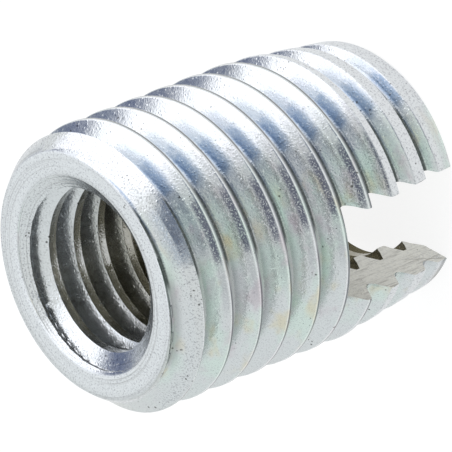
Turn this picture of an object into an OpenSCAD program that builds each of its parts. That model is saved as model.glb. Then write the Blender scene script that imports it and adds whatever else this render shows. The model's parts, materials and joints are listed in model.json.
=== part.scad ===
// Slotted self-tapping threaded insert, turned and milled from one bar.
// It stands on its slotted end: the slotted end face is at z = 0, and the plain
// ring face round the mouth of the threaded bore is on top.
// The slot runs along X. All sizes are in millimetres.

/* [Body] */
// outer diameter over the crests of the outer thread
outer_d = 11.75; // [10.8:0.05:16]
// overall length between the two end faces
length = 14.7; // [12:0.05:24]
// height of the outer chamfer below the top face
chamfer_h = 1.0; // [0.5:0.05:2]
// radial width of the outer chamfer
chamfer_w = 0.8; // [0.3:0.05:1.2]
// height of the conical lead-in above the slotted end
lead_h = 4.5; // [1:0.05:6]
// how much the lead-in cone takes off the radius at the slotted end
lead_w = 0.6; // [0.2:0.01:0.9]

/* [Outer thread] */
// pitch of the outer thread, right hand
outer_pitch = 1.5; // [1:0.05:1.8]
// distance from the top face down to the first crest, on the +X side
outer_start = 0.88; // [0:0.01:2]

/* [Bore] */
// major diameter of the inner thread
inner_major_d = 8.0; // [6:0.05:9.6]
// radial depth of the inner thread
inner_depth = 0.65; // [0.4:0.01:0.7]
// pitch of the inner thread, right hand
inner_pitch = 1.25; // [1:0.05:1.75]
// distance from the top face down to the first inner crest, on the +X side
inner_start = 0.43; // [0:0.01:2]
// radial width of the countersink in the top face
sink_top_w = 0.75; // [0.2:0.05:0.9]
// depth of the countersink in the top face
sink_top_h = 0.5; // [0.2:0.05:1.5]
// radial width of the countersink at the slotted end
sink_low_w = 0.8; // [0.2:0.05:1.2]
// depth of the countersink at the slotted end
sink_low_h = 0.55; // [0.2:0.05:1.5]

/* [Slot] */
// width of the slot milled across the slotted end
slot_w = 4.1; // [2:0.05:6]
// depth of the slot above the slotted end face
slot_depth = 5.7; // [3:0.1:10]
// radius in the two corners of the slot root
slot_r = 0.5; // [0.2:0.05:0.9]

/* [Hidden] */
$fn = 96;
over = 1;                       // how far cutting bodies reach past a face
clear = 0.1;                    // how far a thread cutter stands proud of the surface it enters
outer_steps = 40;               // straight steps in one turn of the outer thread
inner_steps = 32;               // straight steps in one turn of the inner thread
outer_r = outer_d / 2;
bore_r = inner_major_d / 2 - inner_depth;

// 60 degree metric profiles: a flank's axial run for each unit of radius, the outer
// thread's depth, and flats of an eighth of the pitch on its crest and in the inner root
flank = tan(30);
outer_depth = 0.6134 * outer_pitch;
outer_crest = outer_pitch / 8;
inner_flat = inner_pitch / 8;

// half width of each groove where it opens, and the radius that rounds the outer root
groove_half = (outer_pitch - outer_crest) / 2;
root_r = groove_half / flank - outer_depth;
inner_half = inner_flat / 2 + inner_depth * flank;
inner_crest = inner_pitch - 2 * inner_half;

// sections of the two grooves as [radius, height] pairs about their middles
outer_section = [
    [outer_r + clear, groove_half + clear * flank],
    [outer_r - outer_depth + root_r * (1 - sin(30)), root_r * cos(30)],
    [outer_r - outer_depth, root_r * 0.4],
    [outer_r - outer_depth, -root_r * 0.4],
    [outer_r - outer_depth + root_r * (1 - sin(30)), -root_r * cos(30)],
    [outer_r + clear, -groove_half - clear * flank]
];
inner_section = [
    [bore_r - clear, -inner_half - clear * flank],
    [bore_r + inner_depth, -inner_flat / 2],
    [bore_r + inner_depth, inner_flat / 2],
    [bore_r - clear, inner_half + clear * flank]
];

// A closed helical body: the section is carried round the axis in straight steps.
// middle is the height of one turn of it at angle zero, and it runs out past both ends.
module helix(section, pitch, middle, steps) {
    below = ceil(middle / pitch) + 1;
    turns = ceil(length / pitch) + 3;
    n = len(section);
    last = turns * steps;
    points = [
        for (i = [0:last]) let (t = (i + 0.5) / steps, a = 360 * t)
            for (p = section) [p[0] * cos(a), p[0] * sin(a), middle + pitch * (t - below) + p[1]]
    ];
    sides = [
        for (i = [0:last - 1], j = [0:n - 1]) let (k = (j + 1) % n, a = i * n, b = a + n)
            each [[a + j, b + k, b + j], [a + j, a + k, b + k]]
    ];
    start = [for (j = [1:n - 2]) [0, j + 1, j]];
    end = [for (j = [1:n - 2]) [last * n, last * n + j, last * n + j + 1]];
    polyhedron(points = points, faces = concat(sides, start, end));
}

// bar turned to its outside form, before threading
module blank() {
    rotate_extrude()
        polygon([
            [0, 0], [outer_r - lead_w, 0], [outer_r, lead_h], [outer_r, length - chamfer_h],
            [outer_r - chamfer_w, length], [0, length]
        ]);
}

// drilled bore with its two countersinks
module bore() {
    low_r = bore_r + sink_low_w;
    top_r = bore_r + sink_top_w;
    rotate_extrude()
        polygon([
            [0, -over], [low_r, -over], [low_r, 0], [bore_r, sink_low_h],
            [bore_r, length - sink_top_h], [top_r, length], [top_r, length + over],
            [0, length + over]
        ]);
}

// groove of the outer thread, just below its first crest
module outer_groove() {
    middle = length - outer_start - outer_crest - groove_half;
    helix(outer_section, outer_pitch, middle, outer_steps);
}

// groove of the inner thread, just below its first crest
module inner_groove() {
    middle = length - inner_start - inner_crest - inner_half;
    helix(inner_section, inner_pitch, middle, inner_steps);
}

// slot across the slotted end, with rounded root corners
module slot() {
    rotate([90, 0, 90])
        translate([0, 0, -outer_r - over])
            linear_extrude(outer_d + 2 * over) {
                translate([-slot_w / 2, -over]) square([slot_w, slot_depth - slot_r + over]);
                translate([slot_r - slot_w / 2, 0]) square([slot_w - 2 * slot_r, slot_depth]);
                for (side = [-1, 1])
                    translate([side * (slot_w / 2 - slot_r), slot_depth - slot_r]) circle(slot_r);
            }
}

module insert_body() {
    color("lightsteelblue")
        difference() {
            blank();
            bore();
            outer_groove();
            inner_groove();
            slot();
        }
}

insert_body();
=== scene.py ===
"""Slotted self-tapping threaded insert: the looks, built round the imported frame.

Lengths in the constants are millimetres, and MM turns them into the scene's metres.
The insert stands on its slotted end, with its plain ring face up and its slot along X.
"""
import json
import math

import bmesh
import bpy
import numpy as np
from mathutils import Matrix, Vector, noise

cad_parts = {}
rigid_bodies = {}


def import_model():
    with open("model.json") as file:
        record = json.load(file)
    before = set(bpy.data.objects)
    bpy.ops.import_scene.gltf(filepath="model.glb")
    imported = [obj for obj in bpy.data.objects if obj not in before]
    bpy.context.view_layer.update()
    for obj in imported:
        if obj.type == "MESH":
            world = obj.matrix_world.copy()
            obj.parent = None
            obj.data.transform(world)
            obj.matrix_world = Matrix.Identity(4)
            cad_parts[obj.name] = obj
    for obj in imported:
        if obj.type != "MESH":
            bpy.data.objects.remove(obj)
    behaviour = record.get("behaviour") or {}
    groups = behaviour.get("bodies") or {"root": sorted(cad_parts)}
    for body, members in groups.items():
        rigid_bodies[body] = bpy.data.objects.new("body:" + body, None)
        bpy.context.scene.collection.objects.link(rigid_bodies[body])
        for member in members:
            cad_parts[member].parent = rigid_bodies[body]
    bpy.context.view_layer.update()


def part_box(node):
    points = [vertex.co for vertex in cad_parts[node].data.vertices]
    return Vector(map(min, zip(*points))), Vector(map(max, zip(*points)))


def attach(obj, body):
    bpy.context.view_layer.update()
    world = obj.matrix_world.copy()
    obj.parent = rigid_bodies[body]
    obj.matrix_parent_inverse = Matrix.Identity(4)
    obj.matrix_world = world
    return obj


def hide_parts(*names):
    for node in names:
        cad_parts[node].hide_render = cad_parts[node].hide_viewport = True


for old in list(bpy.data.objects):
    bpy.data.objects.remove(old)

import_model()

MM = 0.001
NODE = "insert_body"

# The insert's own sizes. Length and diameter come from the frame, so the two always agree.
low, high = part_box(NODE)
LENGTH = (high.z - low.z) / MM
RADIUS = (high.x - low.x) / 2 / MM
FLANK = math.tan(math.radians(30))
CHAMFER_H, CHAMFER_W = 1.0, 0.8
LEAD_H, LEAD_W = 4.5, 0.6
OUTER_PITCH, OUTER_START = 1.5, 0.88
OUTER_DEPTH, OUTER_ROOT_R = 0.6134 * OUTER_PITCH, 0.1443 * OUTER_PITCH    # as ISO metric threads have
INNER_PITCH, INNER_START = 1.25, 0.43
INNER_MAJOR_R, INNER_DEPTH = 4.0, 0.65
BORE_R = INNER_MAJOR_R - INNER_DEPTH
SINK_TOP_H, SINK_TOP_W = 0.5, 0.75
SINK_LOW_H, SINK_LOW_W = 0.55, 0.8
SLOT_W, SLOT_DEPTH, SLOT_R = 4.1, 5.7, 0.5

# Finish of the real thing that the plain model lacks.
EDGE = 0.015                    # how far a worn edge is rounded
FAR_EDGE = 0.012                # the same on an outer crest's lower edge
CREST_ROUND = 0.10              # radius of an outer crest's upper edge, where the chips slid over it
INNER_ROUND = 0.03              # the same in the bore
MOST_ROUND = 0.66               # the most of a crest's width that this rounding takes
CREST_ARC = (60, 40, 20, 0)     # degrees round the upper edge, a row of points at each
ROOT_ARC = (20, 40, 60)         # degrees from the bottom of a rounded root, the same
NICKS_PER_MM, NICK_LEVEL = 1.1, 0.34
CHIP_FINENESS, CHIP_LEVEL = 3.1, 0.46
NICK_DEPTH = 0.04
POLISHED_OFF = 0.004            # wear that every crest has
FADE = 0.3                      # how near the end faces the wear dies away
RUN_OUT = (-0.02, 0.12)         # how far the bore and the top chamfer lie off the thread's axis
RING_GAP, RING_H = 0.12, 0.02   # turned rings in the top countersink
RING_ROWS = 22
BURR = 0.05                     # rounding where the slot's walls meet the threads

# How finely the surface is cut up.
COARSE_STEP, FINE_STEP = 1.5, 0.5           # degrees between sections, away from the walls and near
FINE_ZONES = ((18.5, 27.0), (30.5, 39.0))   # where the walls cut the outside and the bore
SLOT_ARC_STEP = 15                          # degrees between points in the slot's rounded corners
SHARP_ANGLE = 32                            # degrees past which an edge isn't smoothed
WELD = 2e-7                                 # metres between points that are one
TINY = 1e-6


def stations():
    """Angles of the sections round the axis, closer together where the slot comes through."""
    angles = [0.0]
    while angles[-1] < 360:
        fold = abs((angles[-1] + 90) % 180 - 90)
        near = any(a <= fold <= b for a, b in FINE_ZONES)
        angles.append(angles[-1] + (FINE_STEP if near else COARSE_STEP))
    return np.radians(np.array(angles) * 360 / angles[-1])


ANGLE = stations()
LEVEL = 0 * ANGLE       # the same height at every section
SHIFT = RUN_OUT[0] * np.cos(ANGLE) + RUN_OUT[1] * np.sin(ANGLE)


class Thread:
    """One thread as a profile of q, which is the radius outside and minus the radius in the bore."""

    def __init__(self, pitch, start, crest, crest_q, depth, root_r, lines, corners, upper_round,
                 lower_round):
        self.pitch = pitch
        self.crest = crest
        self.crest_q = crest_q
        self.depth = depth
        self.root_r = root_r
        self.lines = lines                      # the turned blank: q = least of a + b * z
        self.corners = corners                  # heights of the blank's upper and lower corner
        self.upper_round = upper_round
        self.lower_round = lower_round
        self.top = LENGTH - start - crest / 2   # middle of the first crest at angle zero

    def blank(self, z):
        """q of the turned blank at height z, before it was threaded."""
        return np.min([a + b * z for a, b in self.lines], axis=0)

    def thread(self, z):
        """q of the endless thread at height z, one value for each section."""
        turn = (z - self.top) / self.pitch - ANGLE / (2 * math.pi)
        away = np.abs(turn - np.round(turn)) * self.pitch
        q = self.crest_q - np.maximum(away - self.crest / 2, 0) / FLANK
        floor = self.crest_q - self.depth
        if self.root_r:
            reach = self.root_r * math.cos(math.radians(30))
            across = np.minimum(self.pitch / 2 - away, reach)
            round_q = floor + self.root_r - np.sqrt(self.root_r ** 2 - across ** 2)
            return np.where(self.pitch / 2 - away < reach, round_q, q)
        return np.maximum(q, floor)

    def surface(self, z):
        """q of the threaded blank at height z."""
        return np.minimum(self.thread(z), self.blank(z))

    def land(self, middle, upper, wear):
        """Height where the flank above or below a crest comes out through the blank."""
        side = 1 if upper else -1
        ends = []
        for a, b in self.lines:
            # crest_q - (side * (z - middle) - crest / 2) / FLANK = a - wear + b * z
            rise = self.crest_q + (side * middle + self.crest / 2) / FLANK - a + wear
            ends.append(rise / (b + side / FLANK))
        return np.max(ends, axis=0) if upper else np.min(ends, axis=0)

    def roots(self, middle, lower):
        """Heights of the rows in the roots above and below a crest. lower is for the low turns."""
        half = self.pitch / 2
        if self.root_r:
            bows = [self.root_r * math.sin(math.radians(t)) for t in ROOT_ARC]
            return [middle + half - b for b in bows], [middle - half + b for b in reversed(bows)]
        foot = self.crest / 2 + self.depth * FLANK
        meet = LENGTH - SINK_TOP_H + self.depth * SINK_TOP_H / SINK_TOP_W
        if lower:
            meet = SINK_LOW_H - self.depth * SINK_LOW_H / SINK_LOW_W
        above = [np.clip(meet, middle + foot, middle + half), middle + foot]
        below = [middle - foot, np.clip(meet, middle - half, middle - foot)]
        return above, below


def edge_line(z_of_edge, q_of_edge, slope):
    """A conical part of the blank through one edge, as q = a + b * z for each section."""
    return q_of_edge - slope * z_of_edge + LEVEL, slope + LEVEL


chamfer = edge_line(LENGTH, RADIUS - CHAMFER_W, -CHAMFER_W / CHAMFER_H)
OUTER = Thread(
    pitch=OUTER_PITCH, start=OUTER_START, crest=OUTER_PITCH / 8, crest_q=RADIUS,
    depth=OUTER_DEPTH, root_r=OUTER_ROOT_R,
    lines=[
        edge_line(0, RADIUS - LEAD_W, LEAD_W / LEAD_H),
        edge_line(0, RADIUS, 0),
        (chamfer[0] + SHIFT, chamfer[1]),
    ],
    corners=(LENGTH - CHAMFER_H + SHIFT * CHAMFER_H / CHAMFER_W, LEAD_H),
    upper_round=CREST_ROUND, lower_round=FAR_EDGE,
)
INNER = Thread(
    pitch=INNER_PITCH, start=INNER_START,
    crest=INNER_PITCH * 7 / 8 - 2 * INNER_DEPTH * FLANK, crest_q=-BORE_R,
    depth=INNER_DEPTH, root_r=0,
    lines=[
        edge_line(0, -BORE_R - SINK_LOW_W, SINK_LOW_W / SINK_LOW_H),
        edge_line(0, -BORE_R, 0),
        edge_line(LENGTH, -BORE_R - SINK_TOP_W, -SINK_TOP_W / SINK_TOP_H),
    ],
    corners=(LENGTH - SINK_TOP_H, SINK_LOW_H),
    upper_round=INNER_ROUND, lower_round=EDGE,
)
LOW_TURNS = 5       # turns past this one, in both threads, meet the blank's lower corner


def wear_along(angle, seed):
    """Small nicks in a crest, as a depth for each angle along its helix."""
    depth = []
    for a in angle:
        place = Vector((RADIUS * a * NICKS_PER_MM, seed, 0.0))
        finer = place * CHIP_FINENESS + Vector((7.0, 0, 0))
        nick = max(0.0, noise.noise(place) - NICK_LEVEL) * NICK_DEPTH
        chip = max(0.0, noise.noise(finer) - CHIP_LEVEL) * NICK_DEPTH
        depth.append(nick + chip + POLISHED_OFF)
    return np.array(depth)


def near_slot(q, z):
    """How much the surface is rounded away close to the slot's walls."""
    across = np.abs(q * np.sin(ANGLE)) - (SLOT_W / 2 - SLOT_R)
    above = z - (SLOT_DEPTH - SLOT_R)
    outside = np.hypot(np.maximum(across, 0), np.maximum(above, 0))
    gap = outside + np.minimum(np.maximum(across, above), 0) - SLOT_R
    gap = np.clip(gap, 0, BURR)
    return BURR - np.sqrt(BURR ** 2 - (BURR - gap) ** 2)


def tooth_rows(thread, middle, wear, lower, last, z_top):
    """Rows of (q, z) over one crest, from the root above it to the root below it."""
    half = thread.pitch / 2
    up = np.minimum(thread.land(middle, True, wear), middle + half)
    down = np.maximum(thread.land(middle, False, wear), middle - half)
    ease = np.minimum(thread.lower_round, (up - down) / 6)
    tangent = np.minimum(thread.upper_round * FLANK, (up - down) * MOST_ROUND)
    arc = [math.radians(t) for t in CREST_ARC]
    over = [up - tangent + tangent / FLANK * math.sin(t) for t in arc]
    corner = np.clip(thread.corners[lower], down + ease, up - tangent)
    above, below = thread.roots(middle, lower)
    heights = [middle + half, *above, *over, corner, down + ease, down, down - ease / 2, *below]
    first = 1 + len(above)
    rows = []
    for i, z in enumerate(heights):
        z = np.minimum(np.clip(z, EDGE, z_top), last)
        last = z
        fade = np.clip(np.minimum(z - EDGE, LENGTH - EDGE - z) / FADE, 0, 1)
        turned = thread.blank(z) - wear * fade
        if thread is OUTER and first <= i < first + len(arc):
            turned = turned - tangent / FLANK * (1 - math.cos(arc[i - first])) * fade
        rows.append([np.minimum(thread.thread(z), turned), z])
    edge = first + len(arc) + 2
    before, here, after = rows[edge - 1:edge + 2]
    here[0], here[1] = [(b + 2 * h + n) / 4 for b, h, n in zip(before, here, after)]
    return rows, last


def thread_rows(thread, seed, z_top):
    """Rows of (q, z) down the thread, from z_top to the slotted end."""
    rows = []
    last = z_top + LEVEL
    for turn in range(-1, math.ceil(LENGTH / thread.pitch) + 2):
        middle = thread.top + thread.pitch * (ANGLE / (2 * math.pi) - turn)
        wear = wear_along(ANGLE - 2 * math.pi * turn, seed)
        tooth, last = tooth_rows(thread, middle, wear, turn > LOW_TURNS, last, z_top)
        rows += tooth
    start = thread.surface(z_top)
    rows = [[np.where(z > z_top - TINY, start, q), z] for q, z in rows]
    return [[q - near_slot(q, z), z] for q, z in rows]


def ring_rows():
    """Rows across the top countersink, with the rings that the turning tool left."""
    rows = []
    for z in np.linspace(LENGTH - EDGE, LENGTH - SINK_TOP_H - EDGE, RING_ROWS):
        z = z + LEVEL
        depth = (LENGTH - z) / RING_GAP
        cone = INNER.blank(z) - RING_H * (depth % 1) ** 2 * np.clip(depth, 0, 1)
        rows.append([np.minimum(INNER.thread(z), cone), z])
    return rows


def rim_rows(outside, inside, z, inward):
    """Rows across an end face, from its outer rim to its inner one, with both rims eased.

    outside and inside are the q values of the two walls, each at the face and EDGE away from it.
    inward is 1 on the slotted face, where the slot's walls are eased too, and -1 on the ring face.
    """
    height = z + near_slot(outside[0], z + LEVEL) * (inward > 0)
    low_height = z + near_slot(inside[0], z + LEVEL) * (inward > 0)
    rim = outside[0] - EDGE
    mouth = -inside[0] + EDGE
    rows = [[(rim + 2 * outside[0] + outside[1]) / 4, height + inward * EDGE / 4], [rim, height]]
    for share in (0.25, 0.5, 0.75):
        rows.append([rim + (mouth - rim) * share, z + LEVEL])
    rows.append([mouth, low_height])
    rows.append([(mouth - 2 * inside[0] - inside[1]) / 4, low_height + inward * EDGE / 4])
    return rows


def insert_mesh():
    """The threaded tube as one closed grid: sections round the axis, before the slot is cut."""
    outside = thread_rows(OUTER, 1.0, LENGTH - EDGE)
    inside = ring_rows() + thread_rows(INNER, 5.0, LENGTH - SINK_TOP_H - 2 * EDGE)
    ends = []
    for z, near, inward in ((0.0, EDGE, 1), (LENGTH, LENGTH - EDGE, -1)):
        ends.append(rim_rows((OUTER.surface(z), OUTER.surface(near)),
                             (INNER.surface(z), INNER.surface(near)), z, inward))
    below, above = ends
    rows = outside + below + inside[::-1] + above[::-1]
    radius = np.abs(np.array([q for q, z in rows]))
    height = np.array([z + LEVEL for q, z in rows])
    off = np.zeros((len(rows), 1))
    off[len(outside) + len(below) - 2:-2] = 1     # the bore and both faces' inner rims run out
    points = np.stack([radius * np.cos(ANGLE) + off * RUN_OUT[0],
                       radius * np.sin(ANGLE) + off * RUN_OUT[1], height], axis=-1)
    points = points.reshape(-1, 3) * MM
    width = len(ANGLE)
    faces = []
    for j in range(len(rows)):
        k = (j + 1) % len(rows)
        for i in range(width - 1):
            faces.append((j * width + i, k * width + i, k * width + i + 1, j * width + i + 1))
    mesh = bpy.data.meshes.new("insert")
    mesh.from_pydata(points.tolist(), [], faces)
    work = bmesh.new()
    work.from_mesh(mesh)
    bmesh.ops.remove_doubles(work, verts=work.verts, dist=WELD)
    bmesh.ops.recalc_face_normals(work, faces=work.faces)
    work.to_mesh(mesh)
    work.free()
    return mesh


def slot_cutter():
    """The milled slot's outline in Y and Z, carried along X past both sides."""
    outline = [(-SLOT_W / 2, -1.0), (SLOT_W / 2, -1.0)]
    turns = range(0, 91, SLOT_ARC_STEP)
    for side, corner in ((1, turns), (-1, reversed(turns))):
        for turn in corner:
            t = math.radians(turn)
            outline.append((side * (SLOT_W / 2 - SLOT_R + SLOT_R * math.cos(t)),
                            SLOT_DEPTH - SLOT_R + SLOT_R * math.sin(t)))
    work = bmesh.new()
    reach = RADIUS + 1
    start = [work.verts.new(Vector((-reach, y, z)) * MM) for y, z in outline]
    face = work.faces.new(start)
    moved = bmesh.ops.extrude_face_region(work, geom=[face])
    ends = [v for v in moved["geom"] if isinstance(v, bmesh.types.BMVert)]
    bmesh.ops.translate(work, verts=ends, vec=(2 * reach * MM, 0, 0))
    bmesh.ops.recalc_face_normals(work, faces=work.faces)
    mesh = bpy.data.meshes.new("slot")
    work.to_mesh(mesh)
    work.free()
    return mesh


def cut(body, tool_mesh):
    """Takes the tool's shape out of the body, and leaves no modifier behind."""
    tool = bpy.data.objects.new("slot", tool_mesh)
    bpy.context.collection.objects.link(tool)
    step = body.modifiers.new("slot", "BOOLEAN")
    step.operation = "DIFFERENCE"
    step.solver = "MANIFOLD"
    step.object = tool
    shaped = body.evaluated_get(bpy.context.evaluated_depsgraph_get())
    result = bpy.data.meshes.new_from_object(shaped)
    body.modifiers.clear()
    body.data = result
    bpy.data.objects.remove(tool)
    return result


# How far a point of a zone can lie off that zone's plain surface.
NEAR_END = 0.1
NEAR_SINK = 0.05
NEAR_CHAMFER = 0.16     # the chamfer's own run-out is in this
NEAR_RIM = 0.02
NEAR_LEAD = 0.03
NEAR_WALL = 0.01


def point_zones(x, y, z):
    """What each point is part of, and how far it is from the middle of a crest, along Z."""
    radius = np.hypot(x, y)
    inner_r = np.hypot(x - RUN_OUT[0], y - RUN_OUT[1])
    bore = inner_r < INNER_MAJOR_R + NEAR_RIM
    steps = []
    for thread in (INNER, OUTER):
        place = (z - thread.top) / thread.pitch - np.arctan2(y, x) / (2 * math.pi)
        steps.append((place - np.round(place)) * thread.pitch)
    step = np.where(bore, *steps)
    in_sink = z - LENGTH + SINK_TOP_H
    in_chamfer = z - LENGTH + CHAMFER_H
    chamfer_r = RADIUS - in_chamfer * CHAMFER_W / CHAMFER_H - NEAR_CHAMFER
    chamfer_r = np.maximum(chamfer_r, RADIUS - CHAMFER_W - NEAR_RIM)
    lead_r = RADIUS - LEAD_W + z * LEAD_W / LEAD_H - NEAR_LEAD
    return {
        "away": np.abs(step),
        "below": step < 0,
        "bore": bore,
        "ring": z > LENGTH - EDGE,
        "sink": bore & (in_sink > -NEAR_END) & (inner_r > BORE_R + in_sink - NEAR_SINK),
        "chamfer": (in_chamfer > -NEAR_END) & (radius > chamfer_r),
        "lead": ~bore & (z > EDGE) & (z < LEAD_H) & (radius > lead_r),
    }


def is_milled(face):
    """Whether a face lies on the slot's walls or its rounded root."""
    middle = face.center / MM
    wall = abs(face.normal.y) > 0.99 and abs(abs(middle.y) - SLOT_W / 2) < NEAR_WALL
    along_x = abs(face.normal.x) < 0.01 and face.normal.z < -0.05
    in_root = SLOT_DEPTH - SLOT_R < middle.z < SLOT_DEPTH + NEAR_WALL
    return wall or (along_x and in_root and abs(middle.y) < SLOT_W / 2)


def mark_zones(mesh):
    """Stores what each part of the surface is, for the material."""
    place = np.empty(len(mesh.vertices) * 3)
    mesh.vertices.foreach_get("co", place)
    for name, value in point_zones(*place.reshape(-1, 3).T / MM).items():
        layer = mesh.attributes.new(name, "FLOAT", "POINT")
        layer.data.foreach_set("value", value * 1.0)
    layer = mesh.attributes.new("milled", "FLOAT", "FACE")
    layer.data.foreach_set("value", [float(is_milled(face)) for face in mesh.polygons])


class Graph:
    """Short calls for building one node tree."""

    def __init__(self, tree):
        self.tree = tree

    def put(self, socket, value):
        """Gives a socket its value: a link from another node, or a plain one written in it."""
        if isinstance(value, bpy.types.NodeSocket):
            self.tree.links.new(value, socket)
        else:
            socket.default_value = value

    def add(self, kind, settings=None, **inputs):
        """A new node with its settings, and its inputs by name, with _ for a space."""
        node = self.tree.nodes.new(kind)
        for name, value in (settings or {}).items():
            setattr(node, name, value)
        for name, value in inputs.items():
            self.put(node.inputs[name.replace("_", " ")], value)
        return node

    def pair(self, kind, settings, a, b):
        """A node whose first two inputs share one name."""
        node = self.add(kind, settings)
        self.put(node.inputs[0], a)
        self.put(node.inputs[1], b)
        return node

    def math(self, kind, a, b=0.0, clamp=False):
        return self.pair("ShaderNodeMath", {"operation": kind, "use_clamp": clamp}, a, b).outputs[0]

    def vector(self, kind, a, b=(0, 0, 0)):
        node = self.pair("ShaderNodeVectorMath", {"operation": kind}, a, b)
        return node.outputs["Value" if kind in ("DOT_PRODUCT", "LENGTH") else "Vector"]

    def times(self, *values):
        """The product of all the values."""
        product = values[0]
        for value in values[1:]:
            product = self.math("MULTIPLY", product, value)
        return product

    def most(self, *values):
        """The largest of the values."""
        largest = values[0]
        for value in values[1:]:
            largest = self.math("MAXIMUM", largest, value)
        return largest

    def ramp(self, value, start, end, low=0.0, high=1.0, smooth=True):
        """Low up to start and high from end on. Start can be the larger, and then it falls."""
        kind = {"interpolation_type": "SMOOTHSTEP" if smooth else "LINEAR"}
        node = self.add("ShaderNodeMapRange", kind, Value=value, From_Min=start, From_Max=end,
                        To_Min=low, To_Max=high)
        return node.outputs["Result"]

    def band(self, value, start, full, last, end):
        """One between full and last, and nothing before start or past end."""
        return self.times(self.ramp(value, start, full), self.ramp(value, end, last))

    def mix(self, share, a, b):
        """Colour a where share is 0, and b where it is 1."""
        node = self.add("ShaderNodeMix", {"data_type": "RGBA"})
        for socket, value in zip((node.inputs[0], node.inputs[6], node.inputs[7]), (share, a, b)):
            self.put(socket, value)
        return node.outputs[2]

    def noise(self, place, per_mm, detail=2.0, rough=0.5):
        """Smooth noise round 0.5, of about so many features a millimetre."""
        node = self.add("ShaderNodeTexNoise", Vector=place, Scale=per_mm, Detail=detail, Roughness=rough)
        return node.outputs["Fac"]

    def cells(self, place, per_mm):
        """Distance from the nearest of many scattered points, in cells."""
        node = self.add("ShaderNodeTexVoronoi", {"feature": "F1"}, Vector=place, Scale=per_mm,
                        Randomness=1.0)
        return node.outputs["Distance"]


# Colours of the finish, as the steel would show them in white light, and of the painted shade and
# painted reflections laid over it.
CLEAR = (0.80, 0.825, 0.84, 1)
GREEN = (0.77, 0.88, 0.83, 1)
STRAW = (0.81, 0.75, 0.58, 1)
ROSE = (0.73, 0.66, 0.71, 1)
# Partly the passivation's blue, partly a painted reflection of the dark side of the studio.
BLUE_TINT_AND_REFLECTION = (0.25, 0.34, 0.47, 1)
# Painted shade: the dark line under each crest.
NAVY_SHADE = (0.04, 0.05, 0.06, 1)
# Painted dark reflection above each crest.
SLATE_REFLECTION = (0.10, 0.11, 0.17, 1)
# Painted shade in the roots.
MOSS_SHADE = (0.07, 0.085, 0.08, 1)
DIRT = (0.05, 0.045, 0.04, 1)
# Painted shade deep in the bore.
OLIVE_SHADE = (0.34, 0.32, 0.24, 1)
MILLED = (0.76, 0.76, 0.71, 1)
MILLED_DARK = (0.42, 0.41, 0.38, 1)
RING_GREY = (0.36, 0.36, 0.36, 1)
SAND_GREY = (0.38, 0.39, 0.42, 1)

# Where the tints, the painted shade and the painted reflections change round the axis. AT is a
# direction in degrees from X, and the other two numbers say how many degrees from there it is whole and
# gone.
TINTED_AT, TINTED = 5.7, (25.8, 53.1)
BLUE_AT, BLUE_CORE, BLUE_PALE = 65.9, (3.6, 12.8), (16.3, 30.7)
BLUE_CUT = (0.225, 0.12)        # sine times cosine of that angle, where the drift is cut off
ROOT_SHADE_AT, ROOT_SHADE_REACH = 37.2, (14.1, 23.1)
SHADE_NEAR_X_AT, SHADE_NEAR_X_REACH = 0.0, (14.1, 30.7)
DARK_SIDE_AT, DARK_REFLECTION_REACH, HALF_DARK_REFLECTION_REACH = 35.5, (8.9, 17.3), (23.1, 38.7)
SHADE_LINE, CREST_SHADE_LINE = (14.1, 24.5), (16.3, 25.8)
STAIN_AND_REFLECTION_AT, STAIN_AND_REFLECTION_REACH = 39.0, (8.1, 15.2)

# The same across the thread, in mm along Z from the middle of a crest. A pair is the two ends
# of a ramp, and four numbers are a band's start, full, last and end.
SHADE_LINE_BAND = (0.03, 0.05, 0.17, 0.22)
REFLECTION_BAND = (0.07, 0.12, 0.20, 0.30)
BLUE_STARTS, BLUE_THINS = (0.22, 0.46), (0.70, 0.58)
ROOT_SHADE_STARTS = (0.60, 0.69)
SHADE_FILM_STARTS = (0.40, 0.60)
CREST_SHADE_BAND = (0.25, 0.45, 0.75, 0.95)       # shares of the crest's width, from its upper edge

BORE_SHADE_FROM, BORE_SHADE_TO = 1.5, 7.0               # mm below the ring face where the painted shade in the bore starts and where it is full
SMOOTH, LESS_SMOOTH = 0.18, 0.28            # roughness of the plating, which varies between them
DULL_EXTRA = 0.16                           # added on the ring face, the lead and milled faces
GRAIN_H, DOT_H, WAVE_H, RING_BUMP_H = 0.0055, 0.007, 0.008, 0.0025      # relief, in mm
THREAD_STRETCH = (0.45, 0.45, 1.3)          # drifts of tint are long round the axis
STREAK_STRETCH = (9, 9, 1.2)                # streaks per mm on the milled walls
RINGS_PER_MM = 13.0


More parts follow.
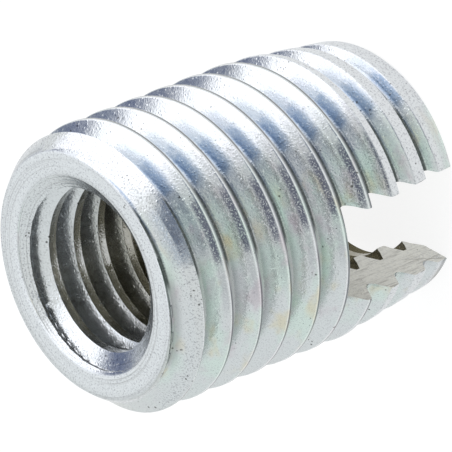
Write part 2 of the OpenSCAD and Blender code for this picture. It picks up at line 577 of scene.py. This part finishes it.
class Steel:
    """The zinc-plated steel: layers of colour over one another, some of them painted shade and painted
    reflections, then its sheen and relief.
    """

    def __init__(self):
        self.material = bpy.data.materials.new("zinc_plated_steel")
        self.material.use_nodes = True
        self.shader = self.material.node_tree.nodes["Principled BSDF"]
        self.shader.inputs["Metallic"].default_value = 1.0
        self.graph = Graph(self.material.node_tree)
        self.place()
        self.colour = CLEAR
        self.passivation()
        self.blue_tint_and_reflection()
        self.bore()
        self.root_shade()
        self.crest_shade_lines()
        self.crest_reflections()
        self.milled_walls()
        self.turned_rings()
        self.sand()
        self.pits()
        self.graph.put(self.shader.inputs["Base Color"], self.colour)
        self.sheen()
        self.relief()

    def place(self):
        """The surface's coordinates and zones, which all the layers use."""
        graph = self.graph
        object_place = graph.add("ShaderNodeTexCoord").outputs["Object"]
        self.mm = graph.vector("MULTIPLY", object_place, (1 / MM, 1 / MM, 1 / MM))
        split = graph.add("ShaderNodeSeparateXYZ", Vector=self.mm)
        self.x, self.height = split.outputs["X"], split.outputs["Z"]
        flat = graph.vector("MULTIPLY", self.mm, (1, 1, 0))
        self.radius = graph.vector("LENGTH", flat)
        self.around = graph.vector("NORMALIZE", flat)
        self.zone = {}
        for name in ("lead", "away", "below", "bore", "ring", "sink", "chamfer", "milled"):
            node = graph.add("ShaderNodeAttribute", {"attribute_name": name})
            self.zone[name] = node.outputs["Fac"]
        self.away, self.below = self.zone["away"], self.zone["below"]
        self.turned = graph.most(self.zone["ring"], self.zone["sink"])
        self.plain = graph.most(self.turned, self.zone["chamfer"], self.zone["lead"])
        elsewhere = graph.most(self.plain, self.zone["bore"])
        self.outside = graph.math("SUBTRACT", 1.0, elsewhere, clamp=True)
        # Two opposite sides round the axis, and one side beside X, where the painted shade and painted
        # dark reflections are strongest.
        self.dark_side = self.two_sides(DARK_SIDE_AT)
        self.shade_near_x = self.beside(self.toward(SHADE_NEAR_X_AT), SHADE_NEAR_X_REACH)
        patches = graph.noise(self.mm, per_mm=2.2, detail=4.0, rough=0.7)
        self.uneven = graph.ramp(patches, 0.3, 0.7, -1.0, 1.0, smooth=False)
        flecks = graph.noise(self.mm, per_mm=11.0, rough=0.7)
        self.specks = graph.ramp(flecks, 0.58, 0.66, 1.0, 0.55)
        finer = graph.noise(self.mm, per_mm=15.0, rough=0.7)
        self.speckle = graph.ramp(finer, 0.50, 0.66, 1.0, 0.15)

    def toward(self, degrees):
        """Cosine of the angle round the axis between the surface and a direction."""
        turn = math.radians(degrees)
        return self.graph.vector("DOT_PRODUCT", self.around, (math.cos(turn), math.sin(turn), 0))

    def beside(self, closeness, reach, low=0.0, high=1.0):
        """High within reach[0] degrees of the direction of closeness, and low past reach[1]."""
        full, gone = [math.cos(math.radians(degrees)) for degrees in reach]
        return self.graph.ramp(closeness, gone, full, low, high)

    def two_sides(self, degrees):
        """Closeness to a direction or to the opposite one."""
        return self.graph.math("ABSOLUTE", self.toward(degrees))

    def layer(self, colour, *shares):
        """Lays a colour over the ones before, as strong as the product of the shares."""
        self.colour = self.graph.mix(self.graph.times(*shares), self.colour, colour)

    def passivation(self):
        """Clear, with drifts of green, straw and rose along the thread."""
        graph = self.graph
        along = graph.vector("MULTIPLY", self.mm, THREAD_STRETCH)
        drift = graph.noise(along, per_mm=0.8, detail=3.0, rough=0.6)
        further = graph.vector("ADD", along, (9, 4, 2))     # far enough to be unrelated
        other = graph.noise(further, per_mm=0.9, detail=3.0, rough=0.6)
        tint = graph.mix(graph.ramp(drift, 0.40, 0.56), GREEN, CLEAR)
        tint = graph.mix(graph.ramp(other, 0.54, 0.70, high=0.8), tint, STRAW)
        tint = graph.mix(graph.ramp(other, 0.44, 0.32, high=0.7), tint, ROSE)
        tinted = self.beside(self.two_sides(TINTED_AT), TINTED, low=0.15)
        self.layer(tint, self.outside, tinted)

    def blue_tint_and_reflection(self):
        """Blue above the roots, deep at one end and pale at the other: partly the passivation's blue,
        partly a painted reflection of the dark side of the studio.
        """
        graph = self.graph
        close = graph.math("ADD", self.two_sides(BLUE_AT), graph.times(self.uneven, 0.008))
        core = self.beside(close, BLUE_CORE, high=0.55)
        pale = self.beside(close, BLUE_PALE, high=0.38)
        slant = graph.times(self.toward(BLUE_AT), self.toward(BLUE_AT - 90))
        cut_off = graph.ramp(slant, *BLUE_CUT)
        away = graph.math("ADD", self.away, graph.times(self.uneven, 0.03))
        start = graph.ramp(away, *BLUE_STARTS)
        thinner = graph.ramp(self.away, *BLUE_THINS, low=0.3)
        share = graph.math("ADD", core, pale)
        self.layer(BLUE_TINT_AND_REFLECTION, share, cut_off, start, thinner, self.outside, self.specks)

    def bore(self):
        """Painted shade in the bore, darker further in."""
        deep = self.graph.ramp(self.height, LENGTH - BORE_SHADE_FROM, LENGTH - BORE_SHADE_TO)
        self.layer(OLIVE_SHADE, self.zone["bore"], deep)

    def root_shade(self):
        """Painted shade in the bottom of each root, thick on two opposite sides, and a thin film of it
        beside X.
        """
        graph = self.graph
        root_shade_share = self.beside(self.two_sides(ROOT_SHADE_AT), ROOT_SHADE_REACH)
        root_shade_share = graph.ramp(root_shade_share, 0, 1, low=0.2, high=0.97)
        self.layer(MOSS_SHADE, graph.ramp(self.away, *ROOT_SHADE_STARTS), self.outside, root_shade_share)
        shade_film = graph.ramp(self.away, *SHADE_FILM_STARTS, high=0.35)
        self.layer(MOSS_SHADE, self.shade_near_x, shade_film, self.outside)

    def crest_shade_lines(self):
        """A line of painted shade under each crest, strongest on two opposite sides, and a fine one on
        top of it.
        """
        graph = self.graph
        strong = self.beside(self.dark_side, SHADE_LINE, low=0.25, high=0.93)
        share = graph.most(strong, graph.times(self.shade_near_x, 0.6))
        self.layer(NAVY_SHADE, graph.band(self.away, *SHADE_LINE_BAND), share, self.below, self.outside)
        share = self.beside(self.dark_side, CREST_SHADE_LINE, low=0.7, high=0.15)
        self.layer(NAVY_SHADE, graph.band(self.below, *CREST_SHADE_BAND), self.outside, share)

    def crest_reflections(self):
        """A painted dark reflection, speckled, above each crest, and a sparkling patch on the chamfer
        beside it that is partly a stain and partly a painted reflection.
        """
        graph = self.graph
        reflected = self.beside(self.dark_side, DARK_REFLECTION_REACH)
        reflected = graph.most(reflected, self.beside(self.dark_side, HALF_DARK_REFLECTION_REACH, high=0.3))
        above = graph.math("SUBTRACT", 1.0, self.below)
        over = graph.band(self.away, *REFLECTION_BAND)
        self.layer(SLATE_REFLECTION, over, above, self.speckle, reflected, self.outside, 0.92)
        stain_and_reflection = self.beside(self.toward(STAIN_AND_REFLECTION_AT), STAIN_AND_REFLECTION_REACH)
        self.layer(BLUE_TINT_AND_REFLECTION, stain_and_reflection, self.speckle, self.zone["chamfer"], self.specks, 0.5)

    def milled_walls(self):
        """Streaks along the axis, on the slot's walls."""
        graph = self.graph
        long = graph.vector("MULTIPLY", self.mm, STREAK_STRETCH)
        streak = graph.noise(long, per_mm=1.0, detail=4.0, rough=0.7)
        wall = graph.mix(graph.ramp(streak, 0.45, 0.75), MILLED, MILLED_DARK)
        self.layer(wall, self.zone["milled"])

    def turned_rings(self):
        """Rings on the ring face and in the countersink."""
        graph = self.graph
        across = graph.times(self.radius, RINGS_PER_MM)
        place = graph.add("ShaderNodeCombineXYZ", X=across, Y=self.x, Z=self.height).outputs[0]
        place = graph.vector("MULTIPLY", place, (1, 0.15, 0.15))
        self.rings = graph.noise(place, per_mm=1.0, detail=3.0, rough=0.7)
        self.layer(RING_GREY, graph.ramp(self.rings, 0.50, 0.72), self.turned, 0.5)

    def sand(self):
        """Fine speckle, strongest on the plain faces."""
        graph = self.graph
        grains = graph.noise(self.mm, per_mm=13.0, rough=0.7)
        share = graph.ramp(self.plain, 0, 1, low=0.3, high=0.75)
        self.layer(SAND_GREY, graph.ramp(grains, 0.50, 0.68), share)

    def pits(self):
        """Small pits, in clusters."""
        graph = self.graph
        size = graph.ramp(graph.noise(self.mm, per_mm=0.7), 0.50, 0.68, high=0.17)
        outline = graph.ramp(graph.noise(self.mm, per_mm=9.0), 0.3, 0.7, -0.05, 0.05)
        ragged = graph.math("ADD", graph.cells(self.mm, per_mm=3.4), outline)
        inside = graph.math("SUBTRACT", size, ragged)
        self.layer(DIRT, graph.ramp(inside, 0.0, 0.03), 0.75)

    def sheen(self):
        """Roughness: bright plating in patches, duller where a tool or a die has left its marks."""
        graph = self.graph
        patchy = graph.noise(self.mm, per_mm=3.0, detail=3.0, rough=0.6)
        rough = graph.ramp(patchy, 0.3, 0.7, SMOOTH, LESS_SMOOTH, smooth=False)
        dull = graph.most(self.zone["lead"], self.zone["ring"], self.zone["milled"])
        rough = graph.math("ADD", rough, graph.times(dull, DULL_EXTRA))
        graph.put(self.shader.inputs["Roughness"], rough)

    def relief(self):
        """Fine bumps in the plating: grain, scattered dots, slow waves and the turned rings."""
        graph = self.graph
        grain = graph.noise(self.mm, per_mm=12.0, detail=0.6)
        dot = graph.ramp(graph.cells(self.mm, per_mm=5.5), 0.0, 0.32, 1.0, 0.0)
        wave = graph.noise(self.mm, per_mm=2.0)
        rings = graph.times(self.rings, self.turned)
        normal = None
        for shape, depth in ((grain, GRAIN_H), (dot, DOT_H), (wave, WAVE_H), (rings, RING_BUMP_H)):
            bump = graph.add("ShaderNodeBump", Strength=1.0, Distance=depth * MM, Height=shape)
            if normal:
                graph.put(bump.inputs["Normal"], normal)
            normal = bump.outputs["Normal"]
        graph.put(self.shader.inputs["Normal"], normal)


# The studio seen in the metal: azimuth, elevation, inner and outer half width in degrees, colour.
STUDIO_GREY = (0.76, 0.78, 0.77)
STUDIO = [
    (-95, 40, 20, 50, (0.76, 0.79, 0.79)),
    (42, 42, 8, 20, (0.20, 0.225, 0.28)),
    (62, 17, 10, 22, (0.13, 0.17, 0.25)),
    (27, 14, 6, 16, (0.22, 0.24, 0.25)),
    (100, 16, 18, 28, (1.45, 1.45, 1.5)),
    (140, 6, 20, 30, (1.4, 1.4, 1.48)),
    (124, 36, 26, 38, (1.55, 1.55, 1.6)),
    (178, 58, 14, 34, (1.4, 1.43, 1.48)),
    (180, 20, 9, 22, (0.13, 0.16, 0.26)),
]
WHITE = (1, 1, 1, 1)


def heading(azimuth, elevation):
    """Unit vector towards an azimuth and elevation in degrees."""
    az, el = math.radians(azimuth), math.radians(elevation)
    return Vector((math.cos(el) * math.cos(az), math.cos(el) * math.sin(az), math.sin(el)))


def studio():
    """A pale tent with soft boxes on one side and the dark of the room beside the camera."""
    world = bpy.data.worlds.new("studio")
    bpy.context.scene.world = world
    world.use_nodes = True
    graph = Graph(world.node_tree)
    way = graph.add("ShaderNodeTexCoord").outputs["Generated"]
    way = graph.vector("NORMALIZE", way)
    colour = STUDIO_GREY + (1,)
    for azimuth, elevation, inner, outer, shade in STUDIO:
        along = graph.vector("DOT_PRODUCT", way, heading(azimuth, elevation))
        share = graph.ramp(along, math.cos(math.radians(outer)), math.cos(math.radians(inner)))
        colour = graph.mix(share, colour, shade + (1,))
    seen = graph.add("ShaderNodeLightPath").outputs["Is Camera Ray"]
    colour = graph.mix(seen, colour, WHITE)
    graph.put(world.node_tree.nodes["Background"].inputs["Color"], colour)


FLOOR_R = 0.06              # metres
FLOOR_GAP = 0.00002         # metres under the insert
FLOOR_GLOW = 0.84           # what brings the floor up to white for the camera
FLOOR_SEEN_IN_METAL = 0.72
FLOOR_WHITE = 0.25


def add_floor():
    """A white disc that shows pure white round a faint shadow."""
    work = bmesh.new()
    bmesh.ops.create_circle(work, cap_ends=True, segments=96, radius=FLOOR_R)
    mesh = bpy.data.meshes.new("floor")
    work.to_mesh(mesh)
    work.free()
    floor = bpy.data.objects.new("floor", mesh)
    bpy.context.collection.objects.link(floor)
    floor.location.z = low.z - FLOOR_GAP
    white = bpy.data.materials.new("floor")
    white.use_nodes = True
    graph = Graph(white.node_tree)
    shader = white.node_tree.nodes["Principled BSDF"]
    shader.inputs["Base Color"].default_value = (FLOOR_WHITE, FLOOR_WHITE, FLOOR_WHITE, 1)
    shader.inputs["Roughness"].default_value = 1.0
    shader.inputs["Specular IOR Level"].default_value = 0.0
    shader.inputs["Emission Color"].default_value = WHITE
    path = graph.add("ShaderNodeLightPath")
    mirrored = graph.most(path.outputs["Is Glossy Ray"], path.outputs["Is Transmission Ray"])
    glow = graph.times(mirrored, FLOOR_SEEN_IN_METAL)
    seen = graph.times(path.outputs["Is Camera Ray"], FLOOR_GLOW)
    graph.put(shader.inputs["Emission Strength"], graph.most(glow, seen))
    mesh.materials.append(white)


# The camera: the photograph's viewing angle, rolled so that the insert lies across the picture.
CAM_AZIMUTH, CAM_ELEVATION, CAM_ROLL = 36.0, 35.92, -111.58
CAM_DISTANCE = 353.4
CAM_RIGHT, CAM_UP = -0.051, -0.158      # where the middle of the picture is, from the insert's
LENS, SENSOR = 716.8, 36
CAM_NEAREST = 0.01                      # metres


def add_camera():
    """Places the camera at its distance from the aim, and turns it by its roll."""
    camera = bpy.data.objects.new("camera", bpy.data.cameras.new("camera"))
    bpy.context.collection.objects.link(camera)
    camera.data.lens = LENS
    camera.data.sensor_width = SENSOR
    away = heading(CAM_AZIMUTH, CAM_ELEVATION)
    level = Vector((0, 0, 1)).cross(away).normalized()
    upright = away.cross(level)
    roll = math.radians(CAM_ROLL)
    right = level * math.cos(roll) + upright * math.sin(roll)
    up = away.cross(right)
    aim = (low + high) / 2 + (right * CAM_RIGHT + up * CAM_UP) * MM
    place = Matrix((right, up, away)).transposed().to_4x4()
    place.translation = aim + away * CAM_DISTANCE * MM
    camera.matrix_world = place
    camera.data.clip_start = CAM_NEAREST
    bpy.context.scene.camera = camera


body = bpy.data.objects.new("threaded_insert", insert_mesh())
bpy.context.collection.objects.link(body)
mesh = cut(body, slot_cutter())
mesh.shade_smooth()
mesh.set_sharp_from_angle(angle=math.radians(SHARP_ANGLE))
mark_zones(mesh)
mesh.materials.clear()
mesh.materials.append(Steel().material)

add_camera()
studio()
add_floor()
bpy.context.scene.view_settings.view_transform = "Standard"

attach(body, "root")
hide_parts(NODE)
